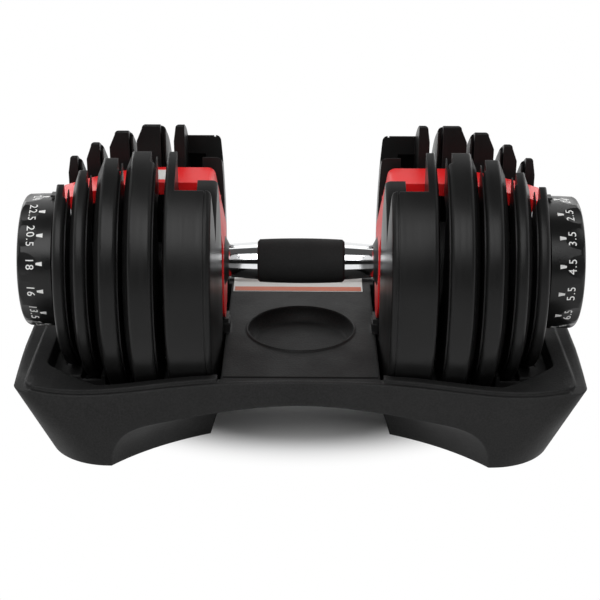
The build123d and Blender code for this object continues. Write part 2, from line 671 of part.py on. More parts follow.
def screw_holes(x_low, x_high, places):
    """Holes for small screws at places of (Y, Z)."""
    return [Pos(0, y, z) * ring(x_low, x_high, SCREW_SHANK_RADIUS + RUNNING_GAP) for y, z in places]


def small_screw(head_x, head_height, place):
    """A small screw along X whose head starts at head_x."""
    head = ring(head_x, head_x + head_height, SCREW_HEAD_RADIUS)
    shank = ring(head_x - SCREW_LENGTH + SEAT_GAP, head_x, SCREW_SHANK_RADIUS)
    head_end = head_x + head_height
    slot = block(head_x + head_height / 2, head_end, SCREW_HEAD_RADIUS, -SCREW_SLOT / 2, SCREW_SLOT / 2)
    return Pos(0, place[0], place[1]) * (head + shank - slot)


def retainer():
    """The plate that closes the lock housing."""
    low = YOKE_ROOM_BOTTOM - RETAINER_LAND
    plate = block(RETAINER_INNER, RETAINER_OUTER, RETAINER_HALF_WIDTH, low, HOUSING_TOP)
    plate -= ring(RETAINER_INNER, RETAINER_OUTER, DISC_HUB_RADIUS + RETAINER_CLEARANCE)
    upper = plate.edges().filter_by(Axis.X).group_by(Axis.Z)[-1]
    lower = plate.edges().filter_by(Axis.X).group_by(Axis.Z)[0]
    plate = fillet(upper + lower, RETAINER_ROUND)
    for hole in screw_holes(RETAINER_INNER, RETAINER_OUTER, RETAINER_SCREWS):
        plate -= hole
    return plate


def outer_bracket():
    """The bracket between the outer plate and the dial, with the pointer over the dial's rim."""
    collar = ring(BRACKET_INNER, BRACKET_OUTER, JOURNAL_RADIUS + BRACKET_RIM)
    stem = block(BRACKET_INNER, BRACKET_OUTER, BRACKET_STEM_HALF_WIDTH, 0, ARM_END_TOP)
    pointer_low = DIAL_RADIUS + POINTER_GAP
    pointer_top = pointer_low + POINTER_THICKNESS
    pointer_tip = BRACKET_OUTER + POINTER_REACH
    pointer = block(BRACKET_INNER, pointer_tip, POINTER_HALF_WIDTH, pointer_low, pointer_top)
    bracket = collar + stem + pointer
    bracket -= ring(BRACKET_INNER, BRACKET_OUTER, JOURNAL_RADIUS + RUNNING_GAP)
    head_seat = ring(BRACKET_OUTER - FLUSH_HEAD_HEIGHT, BRACKET_OUTER, SCREW_HEAD_RADIUS + SEAT_GAP)
    bracket -= Pos(0, 0, ARM_END_MIDDLE) * head_seat
    for hole in screw_holes(BRACKET_INNER, BRACKET_OUTER, [(0, ARM_END_MIDDLE)]):
        bracket -= hole
    return bracket


def end_fasteners():
    """The small screws of one end."""
    screws = [small_screw(RETAINER_OUTER, SCREW_HEAD_HEIGHT, place) for place in RETAINER_SCREWS]
    screws.append(small_screw(BRACKET_OUTER - FLUSH_HEAD_HEIGHT, FLUSH_HEAD_HEIGHT, (0, ARM_END_MIDDLE)))
    return screws


def lock_yoke():
    """The sliding lock: a window round the notched ring, a tooth above it and a foot below."""
    window_top = YOKE_TOOTH_TIP + YOKE_TOOTH
    body = block(YOKE_INNER, YOKE_OUTER, YOKE_HALF_WIDTH, -YOKE_WINDOW - YOKE_BAR, YOKE_TOP)
    body -= ring(YOKE_INNER, YOKE_OUTER, YOKE_WINDOW)
    body -= block(YOKE_INNER, YOKE_OUTER, YOKE_WINDOW, 0, window_top)
    tooth_half = LOCK_NOTCH_WIDTH / 2 - SEAT_GAP
    body += block(YOKE_INNER, YOKE_OUTER, tooth_half, YOKE_TOOTH_TIP, window_top)
    body += block(YOKE_INNER, YOKE_OUTER, YOKE_LEG_HALF_WIDTH, -FOOT_BOTTOM, -YOKE_WINDOW - YOKE_BAR)
    foot_top = FOOT_HEIGHT - FOOT_BOTTOM
    return body + block(COLLAR_END - FOOT_REACH, YOKE_OUTER, YOKE_LEG_HALF_WIDTH, -FOOT_BOTTOM, foot_top)


def lock_spring():
    """The spring that pushes the yoke down, as a plain tube of its outer size."""
    x = (YOKE_INNER - SEAT_GAP + RETAINER_INNER) / 2
    tube = Cylinder(SPRING_RADIUS, SPRING_LENGTH) - Cylinder(SPRING_RADIUS - SPRING_WIRE, SPRING_LENGTH)
    return Pos(x, 0, YOKE_TOP + SPRING_LENGTH / 2) * tube


def handle_tube():
    """The bright tube: plain under the grip, a shoulder beside it and a slow taper to the collar."""
    return turned([
        (-TUBE_END, ROD_RADIUS + RUNNING_GAP),
        (TUBE_END, ROD_RADIUS + RUNNING_GAP),
        (TUBE_END, TUBE_RADIUS),
        (GRIP_END, TUBE_SHOULDER_RADIUS),
        (GRIP_END, TUBE_RADIUS),
        (-GRIP_END, TUBE_RADIUS),
        (-GRIP_END, TUBE_SHOULDER_RADIUS),
        (-TUBE_END, TUBE_RADIUS),
    ])


def grip():
    """The barrel-shaped hand grip."""
    bore = TUBE_RADIUS + RUNNING_GAP
    left_top = (-GRIP_END + GRIP_EDGE, GRIP_END_RADIUS)
    right_top = (GRIP_END - GRIP_EDGE, GRIP_END_RADIUS)
    edges = Polyline(
        left_top,
        (-GRIP_END, GRIP_END_RADIUS - GRIP_EDGE),
        (-GRIP_END, bore),
        (GRIP_END, bore),
        (GRIP_END, GRIP_END_RADIUS - GRIP_EDGE),
        right_top,
    )
    edges += ThreePointArc(right_top, (0, GRIP_RADIUS), left_top)
    return revolve(make_face(edges), axis=Axis.X)


def collar():
    """The cone between the tube and the flange."""
    return turned([
        (TUBE_END, ROD_RADIUS + RUNNING_GAP),
        (COLLAR_END, ROD_RADIUS + RUNNING_GAP),
        (COLLAR_END, COLLAR_RADIUS),
        (TUBE_END, TUBE_RADIUS),
    ])


def core_rod():
    """The steel rod through the whole handle, bored at both ends for the end screws."""
    rod = ring(-DIAL_HUB_OUTER, DIAL_HUB_OUTER, ROD_RADIUS)
    hole_floor = DIAL_HUB_OUTER - END_SCREW_LENGTH - SEAT_GAP
    hole = ring(hole_floor, DIAL_HUB_OUTER, END_SCREW_SHANK_RADIUS + RUNNING_GAP)
    return rod - hole - OTHER_END * hole


def rounded_outline(length, width, corner, height):
    """A rectangle with round corners at a height above the floor."""
    return Pos(0, 0, height) * RectangleRounded(length, width, corner)


def rim_cut():
    """The space above the rim, which dips towards the ends and turns up at the tips."""
    far = TRAY_TOP_LENGTH
    half = TRAY_TOP_LENGTH / 2
    right = [
        (RIM_BEND_AT, RIM_HEIGHT - RIM_BEND_DROP),
        (half - RIM_LOW_INSET, RIM_HEIGHT - RIM_LOW_DROP),
        (half, RIM_HEIGHT - RIM_CROWN_DROP),
    ]
    left = [(-x, z) for x, z in reversed(right)]
    edge = Spline(*left, (0, RIM_HEIGHT), *right)
    tip = right[-1][1]
    sky = Polyline(right[-1], (far, tip), (far, far), (-far, far), (-far, tip), left[0])
    return extrude(make_face(Plane.XZ * (edge + sky)), TRAY_TOP_WIDTH, both=True)


def end_crown_cut():
    """The space above the end rim, which is highest in the middle and falls to the two tips."""
    far = TRAY_TOP_WIDTH
    half = TRAY_TOP_WIDTH / 2
    tip = RIM_HEIGHT - RIM_END_DROP
    crown = ThreePointArc((-half, tip), (0, RIM_HEIGHT - RIM_CROWN_DROP), (half, tip))
    sky = Polyline((half, tip), (far, tip), (far, far), (-far, far), (-far, tip), (-half, tip))
    start_x = TRAY_TOP_LENGTH / 2 - RIM_END_INSET
    return Pos(start_x, 0, 0) * extrude(Plane.YZ * make_face(crown + sky), RIM_END_INSET + OVERCUT)


def dish():
    """The round hollow under the grip: a steep wall and a slightly sunk floor."""
    bottom = DECK_HEIGHT - DISH_DEPTH
    rim = (DISH_RADIUS, DECK_HEIGHT)
    foot = (DISH_FLOOR_RADIUS, bottom)
    edges = Polyline((0, bottom - DISH_FLOOR_DROP), (0, RIM_HEIGHT), (DISH_RADIUS, RIM_HEIGHT), rim)
    edges += TangentArc(rim, foot, tangent=(0, -1))
    edges += TangentArc((0, bottom - DISH_FLOOR_DROP), foot, tangent=(1, 0))
    return revolve(make_face(Plane.XZ * edges), axis=Axis.Z)


def tunnel_section(y, floor_half, knee_inset, knee_height, haunch_inset, haunch_height, crown):
    """One arch-shaped section of the tunnel between the feet."""
    left = [
        (-floor_half, 0),
        (knee_inset - floor_half, knee_height),
        (haunch_inset - floor_half, haunch_height),
    ]
    right = [(-x, z) for x, z in reversed(left)]
    arch = Spline(*left, (0, crown), *right)
    below = -ARCH_HEIGHT
    outline = arch + Polyline(right[-1], (floor_half, below), (-floor_half, below), left[0])
    return make_face(Plane.XZ.offset(-y) * outline)


def tunnel():
    """The tunnel across the tray, flaring towards the front and the back."""
    throat = tunnel_section(
        -THROAT_DEPTH,
        THROAT_HALF_WIDTH,
        THROAT_KNEE_INSET,
        THROAT_KNEE_HEIGHT,
        THROAT_HAUNCH_INSET,
        THROAT_HAUNCH_HEIGHT,
        ARCH_HEIGHT,
    )
    flare = tunnel_section(
        -THROAT_DEPTH - FLARE_DEPTH,
        FLARE_HALF_WIDTH,
        FLARE_KNEE_INSET,
        FLARE_KNEE_HEIGHT,
        FLARE_HAUNCH_INSET,
        FLARE_HAUNCH_HEIGHT,
        ARCH_HEIGHT,
    )
    mouth = tunnel_section(
        -TRAY_TOP_WIDTH / 2 - OVERCUT,
        MOUTH_HALF_WIDTH,
        MOUTH_KNEE_INSET,
        MOUTH_KNEE_HEIGHT,
        MOUTH_HAUNCH_INSET,
        MOUTH_HAUNCH_HEIGHT,
        ARCH_HEIGHT + MOUTH_RISE,
    )
    front = loft([throat, flare, mouth])
    middle_part = extrude(throat, 2 * THROAT_DEPTH, dir=(0, 1, 0))
    return front + middle_part + OTHER_END * front


def well():
    """The space for one stack of plates: a roomy opening, a stepped cradle and deep outer corners."""
    inner_x = BOSS_FACE - CRADLE_CLEARANCE
    outer_x = PLATE_OUTER[1] + WELL_OUTER_ROOM
    corner_x = outer_x - WELL_CORNER_INSET
    outline = make_face(Polyline(
        (inner_x, -WELL_HALF_WIDTH),
        (corner_x, -WELL_HALF_WIDTH),
        (outer_x, -WELL_END_HALF_WIDTH),
        (outer_x, WELL_END_HALF_WIDTH),
        (corner_x, WELL_HALF_WIDTH),
        (inner_x, WELL_HALF_WIDTH),
        close=True,
    ))
    outline = fillet(outline.vertices().group_by(Axis.X)[1:], WELL_CORNER_ROUND)
    opening = Pos(0, 0, WELL_LEDGE_HEIGHT) * extrude(outline, TRAY_BLANK_TOP)
    deep = Pos(0, 0, WELL_CORNER_HEIGHT) * extrude(outline, TRAY_BLANK_TOP)
    deep &= block(PLATE_INNER[3], outer_x, TRAY_TOP_WIDTH, 0, TRAY_BLANK_TOP)
    deep -= block(PLATE_INNER[3], outer_x, SADDLE_HALF_WIDTH, 0, TRAY_BLANK_TOP)
    space = opening + deep + AXIS * drum_outline(CRADLE_CLEARANCE)
    for number in (4, 3, 2, 1):
        inner = PLATE_INNER[number] - CRADLE_CLEARANCE
        outer = PLATE_OUTER[number] + CRADLE_CLEARANCE
        space += AXIS * ring(inner, outer, PLATE_RADIUS[number] + CRADLE_CLEARANCE)
    return space


def tray():
    """The moulded stand: two feet, an arch between them, a deck with a dish and two wells."""
    foot_length = TRAY_TOP_LENGTH - 2 * TRAY_END_DRAFT
    foot_width = TRAY_TOP_WIDTH - 2 * TRAY_SIDE_DRAFT
    foot = rounded_outline(foot_length, foot_width, TRAY_FOOT_CORNER, FOOT_PAD_LIFT)
    top = rounded_outline(TRAY_TOP_LENGTH, TRAY_TOP_WIDTH, TRAY_TOP_CORNER, TRAY_BLANK_TOP)
    body = loft([foot, top])
    above_rim = rim_cut() + end_crown_cut() + OTHER_END * end_crown_cut()
    body -= Pos(0, 0, RIM_BAND_RISE) * above_rim
    band_length = TRAY_TOP_LENGTH - 2 * RIM_BAND_END
    band_width = TRAY_TOP_WIDTH - 2 * RIM_BAND_SIDE
    inside = extrude(rounded_outline(band_length, band_width, RIM_BAND_CORNER, 0), TRAY_BLANK_TOP)
    body -= above_rim - inside
    cradle_shell = AXIS * drum_outline(CRADLE_CLEARANCE + CRADLE_WALL)
    body -= tunnel() - cradle_shell - OTHER_END * cradle_shell
    deck_half = BOSS_FACE + OVERCUT
    lip = TRAY_TOP_WIDTH / 2 - DECK_LIP
    body -= block(-deck_half, deck_half, lip, DECK_HEIGHT, TRAY_BLANK_TOP)
    body += Pos(0, 0, DECK_HEIGHT) * Torus(DISH_RADIUS, DISH_BEAD)
    body -= dish()
    post_x = COLLAR_END - POST_INSET
    post_top = AXIS_HEIGHT - FOOT_BOTTOM - SEAT_GAP
    post = block(post_x, post_x + POST_LENGTH, POST_HALF_WIDTH, DECK_HEIGHT - OVERCUT, post_top)
    body -= well()
    body -= OTHER_END * well()
    body += post
    body += OTHER_END * post
    for place in pad_places():
        body -= place * Cylinder(PAD_RADIUS + RUNNING_GAP, 2 * PAD_THICKNESS)
    return body


def pad_places():
    """Where the rubber pads sit under the feet."""
    return [Pos(sx * x, sy * PAD_Y, 0) for x in (PAD_NEAR_X, PAD_FAR_X) for sx in (1, -1) for sy in (1, -1)]


def tray_pads():
    """The rubber pads that the tray stands on."""
    pad = Pos(0, 0, PAD_THICKNESS / 2) * Cylinder(PAD_RADIUS, PAD_THICKNESS)
    return [place * pad for place in pad_places()]


def save(name, shape):
    """Write one node; a list becomes a group of separate solids."""
    if isinstance(shape, list):
        shape = Compound(children=shape)
    export_step(shape, f"parts/{name}.step")


os.makedirs("parts", exist_ok=True)

save("tray", tray())
save("tray_pads", tray_pads())
save("handle_tube", AXIS * handle_tube())
save("grip", AXIS * grip())
save("core_rod", AXIS * core_rod())

washer, screw = end_screw()
ONE_END = {
    "collar": collar(),
    "end_frame": end_frame(),
    "lock_retainer": retainer(),
    "lock_spring": lock_spring(),
    "lock_yoke": lock_yoke(),
    "lock_ring": lock_ring(),
    "outer_bracket": outer_bracket(),
    "selector_sleeve": selector_sleeve(),
    "dial": dial(),
    "dial_cap": dial_cap(),
    "end_washer": washer,
    "plate_5": drum_plate(),
}
for number in (1, 2, 3, 4):
    ONE_END[f"plate_{number}"] = flat_plate(number)
for number in (1, 2, 3, 4, 5):
    ONE_END[f"selector_disc_{number}"] = selector_disc(number)
for name, shape in ONE_END.items():
    save(f"right_{name}", AXIS * shape)
    save(f"left_{name}", AXIS * (OTHER_END * shape))

small_screws = end_fasteners()
small_screws += [OTHER_END * piece for piece in small_screws]
save("frame_screws", [AXIS * piece for piece in small_screws])
save("end_screws", [AXIS * screw, AXIS * (OTHER_END * screw)])
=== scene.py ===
import json
from math import atan, cos, radians, sin

import bmesh
import bpy
from mathutils import Matrix, Vector
from mathutils.bvhtree import BVHTree


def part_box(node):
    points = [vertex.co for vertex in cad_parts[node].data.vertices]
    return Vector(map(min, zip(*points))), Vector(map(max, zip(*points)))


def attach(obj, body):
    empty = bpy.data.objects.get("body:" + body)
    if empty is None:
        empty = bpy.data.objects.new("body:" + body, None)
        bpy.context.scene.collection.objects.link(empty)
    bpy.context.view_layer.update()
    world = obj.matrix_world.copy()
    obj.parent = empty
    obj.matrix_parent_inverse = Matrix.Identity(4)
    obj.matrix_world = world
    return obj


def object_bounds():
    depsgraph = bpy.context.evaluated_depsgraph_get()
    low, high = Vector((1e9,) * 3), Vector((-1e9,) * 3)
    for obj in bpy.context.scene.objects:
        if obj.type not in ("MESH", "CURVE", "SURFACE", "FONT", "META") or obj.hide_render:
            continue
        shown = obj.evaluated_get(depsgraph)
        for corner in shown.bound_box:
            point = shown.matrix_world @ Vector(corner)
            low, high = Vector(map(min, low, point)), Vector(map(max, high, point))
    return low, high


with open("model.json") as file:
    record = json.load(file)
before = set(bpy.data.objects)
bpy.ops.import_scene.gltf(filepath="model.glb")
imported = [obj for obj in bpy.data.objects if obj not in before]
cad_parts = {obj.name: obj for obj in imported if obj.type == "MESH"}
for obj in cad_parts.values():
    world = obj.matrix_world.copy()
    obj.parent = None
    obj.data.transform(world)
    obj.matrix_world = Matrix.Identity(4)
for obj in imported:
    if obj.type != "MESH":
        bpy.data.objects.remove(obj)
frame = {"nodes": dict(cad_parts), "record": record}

# An adjustable dumbbell in its tray. Metres throughout, X along the handle, -Y the front, Z up.
CAD_BOX = [list(corner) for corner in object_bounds()]
MM = 0.001
NODES = frame["nodes"]
SIDES = {"right": 1, "left": -1}

# Camera, as the photograph was taken
IMAGE_SIZE = 600
SENSOR_WIDTH = 36.0
FOCAL_PIXELS = 1436.4
CAMERA_DISTANCE = 1.0496
CAMERA_ELEVATION = 21.94
CAMERA_ROLL = 0.3
HANDLE_PIXEL_X = 301.0
HANDLE_PIXEL_Y = 260.7

# Room: its brightness by how far a direction points back, from -1 in front to 1 behind the object
BACKDROP_EDGE = 0.25
BACKDROP_FULL = 0.50
ROOM_LEVELS = ((-0.95, 0.008), (-0.55, 0.075), (BACKDROP_EDGE, 0.085), (BACKDROP_FULL, 0.95))

# Lamps; the side lamps give name, power, place on the right and size, and stand on both sides
KEY_POWER = 26.0
KEY_PLACE = (-0.25, -1.25, 1.40)
KEY_SIZE = (1.8, 1.05)
TOP_POWER = 4.0
TOP_PLACE = (0.0, 1.0, 1.7)
TOP_SIZE = (1.8, 0.9)
SIDE_LAMPS = (
    ("side", 3.5, (1.3, -0.1, 0.7), (0.8, 1.3)),
    ("rim", 4.0, (0.80, 1.1, 0.6), (0.7, 0.7)),
)

# Floor: its shadow fades to plain white between two distances from the middle
FLOOR_SIZE = 60.0
FLOOR_COLOUR = (0.92, 0.92, 0.92)
FLOOR_ROUGHNESS = 0.9
FLOOR_SPECULAR = 0.1
SHADOW_NEAR = 0.045
SHADOW_FAR = 0.095
SHADOW_STRETCH = (0.60, 1.0, 1.0)

# Dial print: weights at each setting, from the heaviest setting on
WEIGHTS = (
    "24", "2.5", "3.5", "4.5", "5.5", "6.5", "8", "9",
    "10", "11.5", "13.5", "16", "18", "20.5", "22.5",
)
STEP_ANGLE = radians(360 / len(WEIGHTS))
DIGIT_HEIGHT = 5.9 * MM
DIGIT_CAP_SHARE = 0.73
DIGIT_SPACING = 1.18
DIGIT_FROM_EDGE = 9.8 * MM
DIGIT_MESH_STEP = 0.8 * MM
DIGIT_CUTS = 2
DIGIT_WELD = 0.001 * MM
MARK_FROM_EDGE = 16.2 * MM
MARK_LENGTH = 4.5 * MM
MARK_WIDE = 3.2 * MM
MARK_NARROW = 1.4 * MM
MARK_ROWS = 8
MARK_COLUMNS = 4
PRINT_PROUD = 0.12 * MM
RAY_START_RADII = 2

# Blank labels
LABEL_LEFT = -53.5 * MM
LABEL_RIGHT = 48.8 * MM
LABEL_FRONT = 70.0 * MM
LABEL_BACK = 94.0 * MM
LABEL_BAND_DEPTH = 8.0 * MM
LABEL_MARGIN = 1.2 * MM
LABEL_THICKNESS = 0.15 * MM
STICKER_NEAR = 95.5 * MM
STICKER_FAR = 124.0 * MM
STICKER_HALF_WIDTH = 10.5 * MM
SHEET_STEP = 2.0 * MM
SHEET_FEWEST_CELLS = 2

# Painted shade: a dark strip across the deck along its front edge, standing for the shadow in a groove
# there
SHADE_LINE_HALF_LENGTH = 56.0 * MM
SHADE_LINE_PLACE = -81.5 * MM
SHADE_LINE_WIDTH = 2.2 * MM

# Shading of the solids
WELD_DISTANCE = 0.002 * MM
SHARP_ANGLE = 32.0
DIAL_SHARP_ANGLE = 11.0

# Surface patterns: scale and detail, and for bands the share of the scale along each axis
NOISE_LOW = 0.3
NOISE_HIGH = 0.7
PATCH_NOISE = (9.0, 4.0)
# Breaks up the paler corners, which are partly wear and partly a painted highlight
SCUFF_AND_SHEEN_NOISE = (60.0, 3.0)
GLOSS_NOISE = (35.0, 3.0)
PLATE_BANDS = (420.0, 3.0, (1.0, 0.02, 0.02))
SPECKLE = 0.25
METAL_PATCHES = (25.0, 3.0)
METAL_EDGE = 0.2 * MM
POLISH_STRETCH = (1.0, 0.03, 0.03)
POLISH_RELIEF = 0.01 * MM
PRINT_SPECULAR = 0.3
PRINT_FADING = (300.0, 3.0)
PRINT_GLOSS = (90.0, 2.0)
PRINT_ROUGHNESS = (0.4, 0.55)
PRINT_GRAIN = (2500.0, 1.0)
PRINT_RELIEF = 0.01 * MM

# Paler corners, partly wear and partly a painted highlight: cosines of the turn at which the paler colour
# starts and is full
EDGE_SAMPLES = 4
EDGE_STARTS = 0.99
EDGE_FULL = 0.8


def grey(level):
    """A neutral colour."""
    return (level, level, level)


# Looks of the materials: rough is a range of roughness, grain the scale and depth of the fine relief,
# gloss the pattern of the roughness, and speckle how far the grain takes on the pale corner colour of wear
# and painted highlight
MOULDED = {
    "plate_black": dict(
        dark=grey(0.008), light=grey(0.012), pale_wear_and_highlight=grey(0.045), rough=(0.28, 0.39),
        grain=(1500.0, 0.03 * MM), specular=0.16, edge=0.9 * MM, gloss=PLATE_BANDS,
    ),
    "tray_plastic": dict(
        dark=grey(0.005), light=grey(0.008), pale_wear_and_highlight=grey(0.034), rough=(0.52, 0.66),
        grain=(760.0, 0.16 * MM), specular=0.22, edge=2.5 * MM, speckle=SPECKLE,
    ),
    "frame_red": dict(
        dark=(0.70, 0.008, 0.010), light=(0.77, 0.013, 0.015), pale_wear_and_highlight=(0.85, 0.11, 0.11), rough=(0.36, 0.48),
        grain=(1700.0, 0.02 * MM), specular=0.22, edge=0.8 * MM,
    ),
    "dial_black": dict(
        dark=grey(0.006), light=grey(0.009), pale_wear_and_highlight=grey(0.040), rough=(0.26, 0.36),
        grain=(1600.0, 0.02 * MM), specular=0.26, edge=0.7 * MM,
    ),
    "black_plastic": dict(
        dark=grey(0.012), light=grey(0.018), pale_wear_and_highlight=grey(0.050), rough=(0.42, 0.55),
        grain=(1600.0, 0.03 * MM), specular=0.38, edge=0.5 * MM,
    ),
    "grip_rubber": dict(
        dark=grey(0.006), light=grey(0.010), pale_wear_and_highlight=grey(0.022), rough=(0.70, 0.85),
        grain=(900.0, 0.10 * MM), specular=0.20, edge=0.8 * MM, speckle=SPECKLE,
    ),
    "pad_rubber": dict(
        dark=grey(0.010), light=grey(0.016), pale_wear_and_highlight=grey(0.030), rough=(0.75, 0.90),
        grain=(700.0, 0.10 * MM), specular=0.20, edge=0.6 * MM,
    ),
    # Very dark, dull material for the strip that paints the shade of a groove along the deck's front edge
    "groove_shade_paint": dict(
        dark=grey(0.004), light=grey(0.006), pale_wear_and_highlight=grey(0.010), rough=(0.80, 0.92),
        grain=(1300.0, 0.03 * MM), specular=0.10, edge=0.1 * MM,
    ),
}
PLATED = {
    "chrome": dict(dark=(0.78, 0.79, 0.80), light=(0.84, 0.85, 0.86), rough=(0.05, 0.10), lines=900.0),
    "steel": dict(dark=(0.42, 0.42, 0.43), light=(0.54, 0.54, 0.55), rough=(0.26, 0.40), lines=1400.0),
}
PRINTED = {
    "print_white": dict(plain=(0.82, 0.82, 0.81), faded=(0.70, 0.70, 0.69)),
    "label_paper": dict(plain=(0.66, 0.65, 0.63), faded=(0.60, 0.59, 0.57)),
    "label_orange": dict(plain=(0.58, 0.15, 0.075), faded=(0.52, 0.13, 0.065)),
}


def set_input(node, name, value):
    """Set a plain value on one of a node's own sockets."""
    node.inputs[name].default_value = value


def combine(tree, operation, first, second):
    """A calculation with two values of a node tree."""
    node = tree.nodes.new("ShaderNodeMath")
    node.operation = operation
    tree.links.new(first, node.inputs[0])
    tree.links.new(second, node.inputs[1])
    return node.outputs["Value"]


def map_range(tree, value, low, high, out_low=0.0, out_high=1.0, course="LINEAR"):
    """A value of a node tree with its range mapped to another."""
    node = tree.nodes.new("ShaderNodeMapRange")
    node.interpolation_type = course
    set_input(node, "From Min", low)
    set_input(node, "From Max", high)
    set_input(node, "To Min", out_low)
    set_input(node, "To Max", out_high)
    tree.links.new(value, node.inputs["Value"])
    return node.outputs["Result"]


class Shader:
    """A surface with colour patches, uneven gloss, fine grain and paler edges that are partly wear and
    partly a painted highlight.
    """

    def __init__(self, name, metallic=0.0, specular=0.5):
        self.material = bpy.data.materials.new(name)
        self.material.use_nodes = True
        self.tree = self.material.node_tree
        self.shader = self.tree.nodes["Principled BSDF"]
        set_input(self.shader, "Metallic", metallic)
        set_input(self.shader, "Specular IOR Level", specular)
        self.place = self.add("ShaderNodeTexCoord").outputs["Object"]
        self.normal = None

    def add(self, kind):
        """A new node of the material."""
        return self.tree.nodes.new(kind)

    def link(self, source, target):
        """Connect an output to an input."""
        self.tree.links.new(source, target)

    def noise(self, scale, detail=2.0, stretch=None):
        """Cloudy values over the surface; stretch slows the pattern along chosen axes."""
        node = self.add("ShaderNodeTexNoise")
        set_input(node, "Scale", scale)
        set_input(node, "Detail", detail)
        vector = self.place
        if stretch:
            mapping = self.add("ShaderNodeMapping")
            set_input(mapping, "Scale", stretch)
            self.link(vector, mapping.inputs["Vector"])
            vector = mapping.outputs["Vector"]
        self.link(vector, node.inputs["Vector"])
        return node.outputs["Fac"]

    def spread(self, pattern, low=0.0, high=1.0):
        """A noise pattern stretched over a range."""
        return map_range(self.tree, pattern, NOISE_LOW, NOISE_HIGH, low, high)

    def blend(self, factor, low, high):
        """Mix two colours; either may be a colour or a socket."""
        node = self.add("ShaderNodeMix")
        node.data_type = "RGBA"
        self.link(factor, node.inputs["Factor"])
        for name, colour in (("A", low), ("B", high)):
            target = [i for i in node.inputs if i.name == name and i.type == "RGBA"][0]
            if isinstance(colour, tuple):
                target.default_value = (*colour, 1.0)
            else:
                self.link(colour, target)
        return [o for o in node.outputs if o.type == "RGBA"][0]

    def edges(self, width):
        """Where the surface turns a sharp corner, as 0 to 1; the corners are also shaded round."""
        bevel = self.add("ShaderNodeBevel")
        bevel.samples = EDGE_SAMPLES
        set_input(bevel, "Radius", width)
        flat = self.add("ShaderNodeNewGeometry").outputs["Normal"]
        dot = self.add("ShaderNodeVectorMath")
        dot.operation = "DOT_PRODUCT"
        self.link(bevel.outputs["Normal"], dot.inputs[0])
        self.link(flat, dot.inputs[1])
        self.normal = bevel.outputs["Normal"]
        return map_range(self.tree, dot.outputs["Value"], EDGE_STARTS, EDGE_FULL)

    def bump(self, height, distance):
        """Raise the surface by a height pattern."""
        node = self.add("ShaderNodeBump")
        set_input(node, "Distance", distance)
        self.link(height, node.inputs["Height"])
        if self.normal:
            self.link(self.normal, node.inputs["Normal"])
        self.normal = node.outputs["Normal"]

    def finish(self, colour, roughness):
        """Connect colour, gloss and relief, and return the material."""
        self.link(colour, self.shader.inputs["Base Color"])
        self.link(roughness, self.shader.inputs["Roughness"])
        self.link(self.normal, self.shader.inputs["Normal"])
        return self.material


def moulded(name, dark, light, pale_wear_and_highlight, rough, grain, specular, edge, gloss=GLOSS_NOISE, speckle=0.0):
    """Moulded plastic or rubber: slow colour patches, fine speckled grain and paler corners, partly wear
    and partly a painted highlight.
    """
    surface = Shader(name, specular=specular)
    grain_scale, grain_depth = grain
    colour = surface.blend(surface.spread(surface.noise(*PATCH_NOISE)), dark, light)
    # Corners take a paler colour: partly wear, partly a painted highlight where edges catch the light
    corners = surface.edges(edge)
    edge_wear_and_highlight = combine(surface.tree, "MULTIPLY", corners, surface.noise(*SCUFF_AND_SHEEN_NOISE))
    colour = surface.blend(edge_wear_and_highlight, colour, pale_wear_and_highlight)
    pits = surface.noise(grain_scale)
    colour = surface.blend(surface.spread(pits, high=speckle), colour, pale_wear_and_highlight)
    surface.bump(pits, grain_depth)
    return surface.finish(colour, surface.spread(surface.noise(*gloss), *rough))


def plated(name, dark, light, rough, lines):
    """Bright metal with faint polishing lines round the handle's axis."""
    surface = Shader(name, metallic=1.0)
    colour = surface.blend(surface.noise(*METAL_PATCHES), dark, light)
    marks = surface.noise(lines, stretch=POLISH_STRETCH)
    surface.edges(METAL_EDGE)
    surface.bump(marks, POLISH_RELIEF)
    return surface.finish(colour, surface.spread(marks, *rough))


def printed(name, plain, faded):
    """Thin print or paper with a faint unevenness."""
    surface = Shader(name, specular=PRINT_SPECULAR)
    colour = surface.blend(surface.noise(*PRINT_FADING), plain, faded)
    surface.bump(surface.noise(*PRINT_GRAIN), PRINT_RELIEF)
    return surface.finish(colour, surface.spread(surface.noise(*PRINT_GLOSS), *PRINT_ROUGHNESS))


MATERIALS = {}
for make, looks in ((moulded, MOULDED), (plated, PLATED), (printed, PRINTED)):
    for material_name, look in looks.items():
        MATERIALS[material_name] = make(material_name, **look)


def soft_shading(name, angle):
    """A modifier's node group that shades curved faces smoothly and keeps corners over an angle sharp."""
    group = bpy.data.node_groups.new(name, "GeometryNodeTree")
    group.interface.new_socket("Mesh", in_out="INPUT", socket_type="NodeSocketGeometry")
    group.interface.new_socket("Mesh", in_out="OUTPUT", socket_type="NodeSocketGeometry")
    source = group.nodes.new("NodeGroupInput")
    weld = group.nodes.new("GeometryNodeMergeByDistance")
    set_input(weld, "Distance", WELD_DISTANCE)
    corner = group.nodes.new("GeometryNodeInputMeshEdgeAngle")
    sharp = group.nodes.new("FunctionNodeCompare")
    sharp.operation = "GREATER_THAN"
    set_input(sharp, "B", radians(angle))
    shade = group.nodes.new("GeometryNodeSetMeshNormal")
    shade.mode = "SHARPNESS"
    set_input(shade, "Remove Custom", True)
    set_input(shade, "Face Sharpness", False)
    result = group.nodes.new("NodeGroupOutput")
    links = group.links
    links.new(source.outputs["Mesh"], weld.inputs["Geometry"])
    links.new(weld.outputs["Geometry"], shade.inputs["Mesh"])
    links.new(corner.outputs["Unsigned Angle"], sharp.inputs["A"])
    links.new(sharp.outputs["Result"], shade.inputs["Edge Sharpness"])
    links.new(shade.outputs["Mesh"], result.inputs["Mesh"])
    return group


